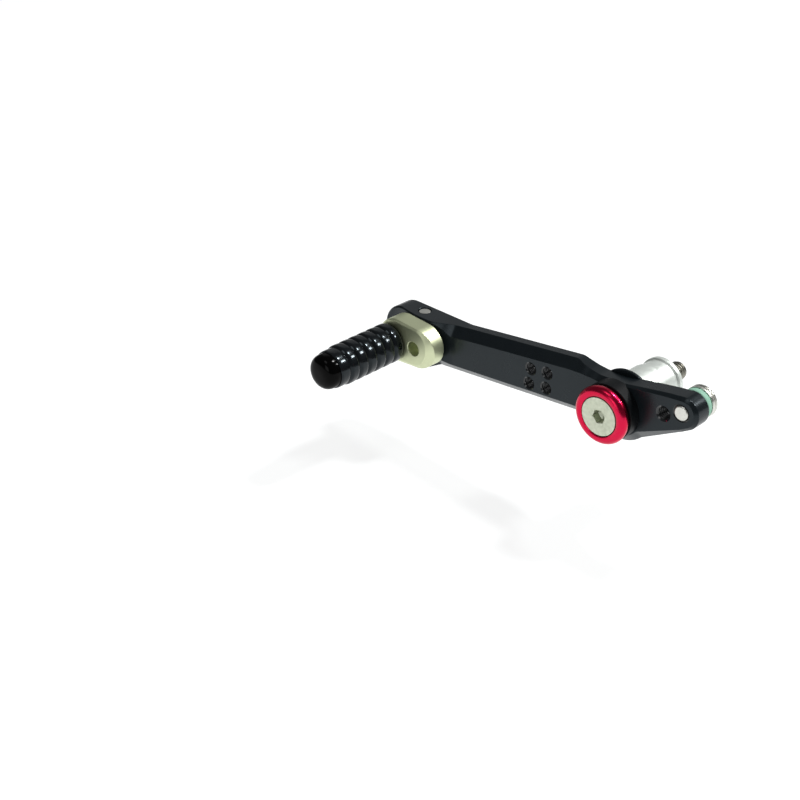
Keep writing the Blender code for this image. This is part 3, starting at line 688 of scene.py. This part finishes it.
def anodised(
    name, colour, tint, metallic, roughness, haze, grain, lines, coat=0.0, shine=0.5, sheen=(1.0, 1.0, 1.0)
):
    """Dyed anodised aluminium: slightly cloudy dye, hazy gloss, a blasted grain and faint cutter lines.

    `colour` and `tint` are the dye's two ends, `roughness` and `haze` the gloss and its spread, and
    `grain` and `lines` the depth of the two bumps in millimetres. `coat` is the weight of the sealed skin,
    `shine` the specular level of a dye that isn't metallic, and `sheen` the colour of its reflections."""
    material = bpy.data.materials.new(name)
    material.use_nodes = True
    nodes, links = material.node_tree.nodes, material.node_tree.links
    nodes.clear()

    dye_frame = nodes.new("NodeFrame")
    dye_frame.label = "Dye"
    gloss_frame = nodes.new("NodeFrame")
    gloss_frame.label = "Gloss"
    surface_frame = nodes.new("NodeFrame")
    surface_frame.label = "Surface"

    place = nodes.new("ShaderNodeTexCoord")
    place.label = "Place on the piece"
    place.location = (-1200, 0)

    cloud = nodes.new("ShaderNodeTexNoise")
    cloud.label = "Cloudy dye"
    cloud.location = (-820, 420)
    cloud.parent = dye_frame
    dye = nodes.new("ShaderNodeMix")
    dye.label = "Dye colour"
    dye.location = (-480, 420)
    dye.parent = dye_frame

    smear = nodes.new("ShaderNodeTexNoise")
    smear.label = "Handling haze"
    smear.location = (-820, 80)
    smear.parent = gloss_frame
    gloss = nodes.new("ShaderNodeMapRange")
    gloss.label = "Roughness range"
    gloss.location = (-480, 80)
    gloss.parent = gloss_frame

    blast = nodes.new("ShaderNodeTexNoise")
    blast.label = "Blasted grain"
    blast.location = (-820, -260)
    blast.parent = surface_frame
    grain_bump = nodes.new("ShaderNodeBump")
    grain_bump.label = "Grain relief"
    grain_bump.location = (-480, -260)
    grain_bump.parent = surface_frame
    stretch = nodes.new("ShaderNodeMapping")
    stretch.label = "Draw the lines out along X"
    stretch.location = (-1000, -600)
    stretch.parent = surface_frame
    cutter = nodes.new("ShaderNodeTexNoise")
    cutter.label = "Cutter lines"
    cutter.location = (-820, -600)
    cutter.parent = surface_frame
    line_bump = nodes.new("ShaderNodeBump")
    line_bump.label = "Line relief"
    line_bump.location = (-480, -600)
    line_bump.parent = surface_frame

    shader = nodes.new("ShaderNodeBsdfPrincipled")
    shader.label = "Anodised aluminium"
    shader.location = (-100, 120)
    output = nodes.new("ShaderNodeOutputMaterial")
    output.label = "Surface out"
    output.location = (220, 120)

    cloud.inputs["Scale"].default_value = 140.0
    cloud.inputs["Detail"].default_value = 4.0
    dye.data_type = "RGBA"
    dye.inputs["A"].default_value = (*colour, 1.0)
    dye.inputs["B"].default_value = (*tint, 1.0)
    smear.inputs["Scale"].default_value = 90.0
    smear.inputs["Detail"].default_value = 3.0
    gloss.inputs["From Min"].default_value = 0.3
    gloss.inputs["From Max"].default_value = 0.7
    gloss.inputs["To Min"].default_value = roughness - haze
    gloss.inputs["To Max"].default_value = roughness + haze
    blast.inputs["Scale"].default_value = 5200.0
    blast.inputs["Detail"].default_value = 2.0
    grain_bump.inputs["Distance"].default_value = grain * MM
    stretch.inputs["Scale"].default_value = (0.03, 1.0, 1.0)
    cutter.inputs["Scale"].default_value = 2600.0
    cutter.inputs["Detail"].default_value = 1.0
    line_bump.inputs["Distance"].default_value = lines * MM
    shader.inputs["Metallic"].default_value = metallic
    shader.inputs["Specular IOR Level"].default_value = shine
    shader.inputs["Specular Tint"].default_value = (*sheen, 1.0)
    shader.inputs["Coat Weight"].default_value = coat
    shader.inputs["Coat Roughness"].default_value = 0.08

    links.new(place.outputs["Object"], cloud.inputs["Vector"])
    links.new(cloud.outputs["Fac"], dye.inputs["Factor"])
    links.new(dye.outputs["Result"], shader.inputs["Base Color"])
    links.new(place.outputs["Object"], smear.inputs["Vector"])
    links.new(smear.outputs["Fac"], gloss.inputs["Value"])
    links.new(gloss.outputs["Result"], shader.inputs["Roughness"])
    links.new(place.outputs["Object"], blast.inputs["Vector"])
    links.new(blast.outputs["Fac"], grain_bump.inputs["Height"])
    links.new(place.outputs["Object"], stretch.inputs["Vector"])
    links.new(stretch.outputs["Vector"], cutter.inputs["Vector"])
    links.new(cutter.outputs["Fac"], line_bump.inputs["Height"])
    links.new(grain_bump.outputs["Normal"], line_bump.inputs["Normal"])
    links.new(line_bump.outputs["Normal"], shader.inputs["Normal"])
    links.new(shader.outputs["BSDF"], output.inputs["Surface"])
    return material


def turned_metal(name, colour, tint, roughness, lines, x=0.0, z=0.0, mottle=0.0, metallic=1.0):
    """Bare metal off a lathe whose axis passes through (x, z): fine rings that follow the distance from the
    axis plus the distance along it, over a slightly uneven colour; `lines` is their depth in millimetres,
    and `mottle` spreads the roughness in small spots. A `metallic` below 1 makes the skin partly matt."""
    material = bpy.data.materials.new(name)
    material.use_nodes = True
    nodes, links = material.node_tree.nodes, material.node_tree.links
    nodes.clear()

    ring_frame = nodes.new("NodeFrame")
    ring_frame.label = "Turning marks"
    tone_frame = nodes.new("NodeFrame")
    tone_frame.label = "Tone and gloss"

    place = nodes.new("ShaderNodeTexCoord")
    place.label = "Place on the piece"
    place.location = (-1500, 0)
    centre = nodes.new("ShaderNodeMapping")
    centre.label = "Centre on the lathe axis"
    centre.location = (-1300, -200)
    centre.parent = ring_frame
    across = nodes.new("ShaderNodeVectorMath")
    across.label = "Leave out the way along"
    across.location = (-1120, -120)
    across.parent = ring_frame
    distance = nodes.new("ShaderNodeVectorMath")
    distance.label = "Distance from the axis"
    distance.location = (-940, -120)
    distance.parent = ring_frame
    parts = nodes.new("ShaderNodeSeparateXYZ")
    parts.label = "Way along the axis"
    parts.location = (-1120, -340)
    parts.parent = ring_frame
    travel = nodes.new("ShaderNodeMath")
    travel.label = "Tool travel"
    travel.location = (-760, -200)
    travel.parent = ring_frame
    marks = nodes.new("ShaderNodeTexNoise")
    marks.label = "Tool marks"
    marks.location = (-580, -200)
    marks.parent = ring_frame
    relief = nodes.new("ShaderNodeBump")
    relief.label = "Mark relief"
    relief.location = (-400, -200)
    relief.parent = ring_frame

    spots = nodes.new("ShaderNodeTexNoise")
    spots.label = "Uneven skin"
    spots.location = (-760, 260)
    spots.parent = tone_frame
    tone = nodes.new("ShaderNodeMix")
    tone.label = "Metal colour"
    tone.location = (-400, 320)
    tone.parent = tone_frame
    gloss = nodes.new("ShaderNodeMapRange")
    gloss.label = "Roughness range"
    gloss.location = (-400, 60)
    gloss.parent = tone_frame

    shader = nodes.new("ShaderNodeBsdfPrincipled")
    shader.label = "Turned metal"
    shader.location = (-100, 120)
    output = nodes.new("ShaderNodeOutputMaterial")
    output.label = "Surface out"
    output.location = (220, 120)

    centre.inputs["Location"].default_value = (-x * MM, 0.0, -z * MM)
    across.operation = "MULTIPLY"
    across.inputs[1].default_value = (1.0, 0.0, 1.0)
    distance.operation = "LENGTH"
    travel.operation = "ADD"
    marks.noise_dimensions = "1D"
    marks.inputs["Scale"].default_value = 5500.0
    marks.inputs["Detail"].default_value = 3.0
    relief.inputs["Distance"].default_value = lines * MM
    spots.inputs["Scale"].default_value = 700.0
    spots.inputs["Detail"].default_value = 5.0
    tone.data_type = "RGBA"
    tone.inputs["A"].default_value = (*colour, 1.0)
    tone.inputs["B"].default_value = (*tint, 1.0)
    gloss.inputs["From Min"].default_value = 0.35
    gloss.inputs["From Max"].default_value = 0.65
    gloss.inputs["To Min"].default_value = roughness - mottle
    gloss.inputs["To Max"].default_value = roughness + mottle
    shader.inputs["Metallic"].default_value = metallic

    links.new(place.outputs["Object"], centre.inputs["Vector"])
    links.new(centre.outputs["Vector"], across.inputs[0])
    links.new(across.outputs["Vector"], distance.inputs[0])
    links.new(centre.outputs["Vector"], parts.inputs["Vector"])
    links.new(distance.outputs["Value"], travel.inputs[0])
    links.new(parts.outputs["Y"], travel.inputs[1])
    links.new(travel.outputs["Value"], marks.inputs["W"])
    links.new(marks.outputs["Fac"], relief.inputs["Height"])
    links.new(relief.outputs["Normal"], shader.inputs["Normal"])
    links.new(place.outputs["Object"], spots.inputs["Vector"])
    links.new(spots.outputs["Fac"], tone.inputs["Factor"])
    links.new(tone.outputs["Result"], shader.inputs["Base Color"])
    links.new(spots.outputs["Fac"], gloss.inputs["Value"])
    links.new(gloss.outputs["Result"], shader.inputs["Roughness"])
    links.new(shader.outputs["BSDF"], output.inputs["Surface"])
    return material


def moulded(name, colour, tint, roughness, haze, relief_depth, shine=0.5):
    """Moulded rubber or plastic: an even colour with faint clouds, and a fine skin texture; `shine` is the
    specular level."""
    material = bpy.data.materials.new(name)
    material.use_nodes = True
    nodes, links = material.node_tree.nodes, material.node_tree.links
    nodes.clear()

    colour_frame = nodes.new("NodeFrame")
    colour_frame.label = "Colour and gloss"
    skin_frame = nodes.new("NodeFrame")
    skin_frame.label = "Moulded skin"

    place = nodes.new("ShaderNodeTexCoord")
    place.label = "Place on the piece"
    place.location = (-1000, 0)
    cloud = nodes.new("ShaderNodeTexNoise")
    cloud.label = "Uneven colour"
    cloud.location = (-760, 260)
    cloud.parent = colour_frame
    tone = nodes.new("ShaderNodeMix")
    tone.label = "Material colour"
    tone.location = (-440, 320)
    tone.parent = colour_frame
    gloss = nodes.new("ShaderNodeMapRange")
    gloss.label = "Roughness range"
    gloss.location = (-440, 60)
    gloss.parent = colour_frame
    pores = nodes.new("ShaderNodeTexNoise")
    pores.label = "Skin texture"
    pores.location = (-760, -260)
    pores.parent = skin_frame
    relief = nodes.new("ShaderNodeBump")
    relief.label = "Skin relief"
    relief.location = (-440, -260)
    relief.parent = skin_frame
    shader = nodes.new("ShaderNodeBsdfPrincipled")
    shader.label = "Moulded material"
    shader.location = (-100, 120)
    output = nodes.new("ShaderNodeOutputMaterial")
    output.label = "Surface out"
    output.location = (220, 120)

    cloud.inputs["Scale"].default_value = 260.0
    cloud.inputs["Detail"].default_value = 3.0
    tone.data_type = "RGBA"
    tone.inputs["A"].default_value = (*colour, 1.0)
    tone.inputs["B"].default_value = (*tint, 1.0)
    gloss.inputs["From Min"].default_value = 0.3
    gloss.inputs["From Max"].default_value = 0.7
    gloss.inputs["To Min"].default_value = roughness - haze
    gloss.inputs["To Max"].default_value = roughness + haze
    pores.inputs["Scale"].default_value = 3200.0
    pores.inputs["Detail"].default_value = 2.0
    relief.inputs["Distance"].default_value = relief_depth * MM
    shader.inputs["Specular IOR Level"].default_value = shine

    links.new(place.outputs["Object"], cloud.inputs["Vector"])
    links.new(cloud.outputs["Fac"], tone.inputs["Factor"])
    links.new(tone.outputs["Result"], shader.inputs["Base Color"])
    links.new(cloud.outputs["Fac"], gloss.inputs["Value"])
    links.new(gloss.outputs["Result"], shader.inputs["Roughness"])
    links.new(place.outputs["Object"], pores.inputs["Vector"])
    links.new(pores.outputs["Fac"], relief.inputs["Height"])
    links.new(relief.outputs["Normal"], shader.inputs["Normal"])
    links.new(shader.outputs["BSDF"], output.inputs["Surface"])
    return material


def wear(piece, material, **others):
    """Gives a piece its material, and others to some of its faces: each is a pair of a material and a
    function that chooses faces by their centres, in millimetres."""
    piece.data.materials.clear()
    piece.data.materials.append(material)
    if others:
        centres = np.empty(len(piece.data.polygons) * 3)
        piece.data.polygons.foreach_get("center", centres)
        index = np.zeros(len(piece.data.polygons), np.int32)
        for number, (other, chosen) in enumerate(others.values(), 1):
            piece.data.materials.append(other)
            index[chosen(centres.reshape(-1, 3) / MM)] = number
        piece.data.polygons.foreach_set("material_index", index)


def in_tapped_hole(centres):
    """The arm's faces that lie in a tapped hole, between its front and back faces."""
    guard_reach, link_reach = 3.0, 3.6
    holes = [(x, z, guard_reach) for x, z in GUARD_HOLES]
    holes += [(*SPARE_LINK_HOLE, link_reach), (link_pin.x, link_pin.z, link_reach)]
    x, y, z = centres.T
    inside = (y > FACE + 0.02) & (y < FACE + ARM_THICKNESS - 0.02)
    return inside & np.any([np.hypot(x - hx, z - hz) < reach for hx, hz, reach in holes], axis=0)


def on_thread(centres):
    """The pivot screw's faces from just inside the spacer to its end."""
    return centres[:, 1] > spacer.back - 3


def boss_side_painted_shade(centres):
    """The arm's faces on the side of its front boss, which get a darker, duller black as painted shade."""
    x, y, z = centres.T
    return (y < FACE - 0.1) & (np.hypot(x, z) < BOSS_RADIUS + 0.1)


def make_pieces():
    cool = (0.78, 0.92, 1.0)
    black = anodised(
        "black_anodised", (0.005, 0.007, 0.009), (0.008, 0.011, 0.013), metallic=0.0,
        roughness=0.29, haze=0.03, grain=0.003, lines=0.002, shine=0.30, sheen=cool,
    )
    peg_black = anodised(
        "black_anodised_peg", (0.004, 0.005, 0.006), (0.007, 0.008, 0.009), metallic=0.0,
        roughness=0.17, haze=0.02, grain=0.0006, lines=0.0003, shine=0.30, sheen=cool,
    )
    cut_black = anodised(
        "black_anodised_thread", (0.012, 0.014, 0.016), (0.02, 0.022, 0.024), metallic=0.35,
        roughness=0.16, haze=0.03, grain=0.001, lines=0.001, coat=0.3, shine=0.6,
    )
    # Painted shade: a darker, duller copy of the black anodising, put on the boss's side to stand in for the
    # shade that falls there.
    boss_shade_black = anodised(
        "black_anodised_boss_painted_shade", (0.004, 0.005, 0.006), (0.006, 0.007, 0.008), metallic=0.0,
        roughness=0.45, haze=0.04, grain=0.004, lines=0.002, shine=0.10,
    )
    gold = anodised(
        "gold_anodised", (0.62, 0.67, 0.44), (0.68, 0.72, 0.49), metallic=1.0,
        roughness=0.46, haze=0.05, grain=0.004, lines=0.001,
    )
    red = anodised(
        "red_anodised", (0.58, 0.006, 0.04), (0.66, 0.010, 0.065), metallic=1.0,
        roughness=0.25, haze=0.04, grain=0.001, lines=0.0005, coat=0.15,
    )
    nickel = turned_metal(
        "nickel_screw", (0.62, 0.65, 0.52), (0.52, 0.56, 0.45), roughness=0.46, lines=0.002, mottle=0.12
    )
    dark_steel = turned_metal(
        "dark_steel", (0.34, 0.33, 0.29), (0.26, 0.25, 0.22), roughness=0.35, lines=0.002, mottle=0.06
    )
    steel = turned_metal(
        "bright_steel", (0.70, 0.70, 0.65), (0.60, 0.60, 0.56), roughness=0.32, lines=0.002, mottle=0.05
    )
    aluminium = turned_metal(
        "machined_aluminium", (0.80, 0.84, 0.80), (0.72, 0.77, 0.72),
        roughness=0.42, lines=0.004, mottle=0.06, metallic=0.55,
    )
    bronze = turned_metal(
        "bronze", (0.52, 0.34, 0.14), (0.44, 0.28, 0.11),
        roughness=0.38, lines=0.003, x=peg.x, z=peg.z, mottle=0.06,
    )
    bearing = turned_metal(
        "bearing_steel", (0.56, 0.56, 0.56), (0.50, 0.50, 0.51), roughness=0.18, lines=0.001, mottle=0.03
    )
    gloss_black = moulded(
        "gloss_black_cap", (0.001, 0.001, 0.001), (0.002, 0.002, 0.002),
        roughness=0.12, haze=0.02, relief_depth=0.0003, shine=0.06,
    )
    green = moulded(
        "green_seal", (0.26, 0.52, 0.38), (0.33, 0.60, 0.46), roughness=0.6, haze=0.06, relief_depth=0.004
    )
    rubber = moulded(
        "bearing_seal", (0.012, 0.012, 0.012), (0.02, 0.02, 0.02),
        roughness=0.6, haze=0.06, relief_depth=0.004,
    )

    # The boss's side wears the darker, duller black as painted shade.
    wear(lever_arm(), black, threads=(cut_black, in_tapped_hole), boss=(boss_shade_black, boss_side_painted_shade))
    wear(pivot_screw(), nickel, thread=(dark_steel, on_thread))
    wear(cup_washer(), red)
    wear(frame_spacer(), aluminium)
    wear(eccentric_plate(), gold)
    wear(peg_sleeve(), peg_black)
    wear(peg_end_cap(), gloss_black)
    wear(linkage_pin(), steel)
    wear(linkage_seal(), green)
    wear(clamp_set_screw(), steel)
    inside = {
        "axle_sleeve": steel,
        "distance_tube": aluminium,
        "peg_bolt": steel,
        "peg_thrust_washer": gloss_black,
        "peg_bush_inner": bronze,
        "peg_bush_outer": bronze,
    }
    for end in ("front", "rear"):
        for race in ("outer_race", "inner_race", "ball_cage"):
            inside[f"{end}_bearing_{race}"] = bearing
        for shield in ("outside_shield", "inside_shield"):
            inside[f"{end}_bearing_{shield}"] = rubber
    for node, material in inside.items():
        wear(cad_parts[node], material)


# ---------------------------------------------------------------- studio


def softbox(name, direction, distance, size, power):
    """A square area light seen in `direction` from the object's middle, facing it."""
    light = bpy.data.lights.new(name, "AREA")
    light.shape = "SQUARE"
    light.size = size
    light.energy = power
    lamp = bpy.data.objects.new(name, light)
    towards = np.array(direction, float) / np.linalg.norm(direction)
    middle = np.array((cad_low + cad_high) / 2)
    lamp.location = middle + towards * distance
    lamp.rotation_euler = Vector(towards).to_track_quat("Z", "Y").to_euler()
    bpy.context.scene.collection.objects.link(lamp)


def studio():
    scene = bpy.context.scene
    scene.view_settings.view_transform = "Standard"

    world = bpy.data.worlds.new("studio_walls")
    world.use_nodes = True
    background = world.node_tree.nodes["Background"]
    background.inputs["Color"].default_value = (0.97, 1.0, 1.0, 1.0)
    background.inputs["Strength"].default_value = 0.12
    scene.world = world

    # The floor lies low enough for the lever to swing to its limits above it.
    room_below = 0.035
    bpy.ops.mesh.primitive_plane_add(size=60.0, location=(0, 0, cad_low.z - room_below))
    floor = bpy.context.object
    floor.name = "floor"
    paper = bpy.data.materials.new("pale_floor")
    paper.use_nodes = True
    shader = paper.node_tree.nodes["Principled BSDF"]
    shader.inputs["Base Color"].default_value = (0.34, 0.35, 0.35, 1.0)
    shader.inputs["Roughness"].default_value = 0.8
    shader.inputs["Specular IOR Level"].default_value = 0.1
    shader.inputs["Emission Color"].default_value = (1.0, 1.0, 1.0, 1.0)
    shader.inputs["Emission Strength"].default_value = 0.82
    wear(floor, paper)

    softbox("high_lamp", (0.20, 0.47, 0.86), 1.3, 0.16, 10.0)
    softbox("low_lamp", (0.50, 0.60, 0.63), 1.3, 0.14, 6.0)
    softbox("back_wall", (-0.61, 0.62, 0.50), 1.6, 1.0, 0.9)
    softbox("front_low", (0.10, -0.94, 0.31), 1.6, 0.7, 3.2)
    softbox("front_high", (-0.11, -0.48, 0.87), 1.6, 0.5, 2.4)

    lens = bpy.data.cameras.new("camera")
    lens.lens = 65.2
    lens.sensor_width = 36.0
    lens.clip_start = 0.01
    camera = bpy.data.objects.new("camera", lens)
    camera.location = (0.2779, -0.4275, 0.2773)
    camera.rotation_euler = (np.radians(60.13), 0.0, np.radians(44.75))
    scene.collection.objects.link(camera)
    scene.camera = camera


make_pieces()
studio()
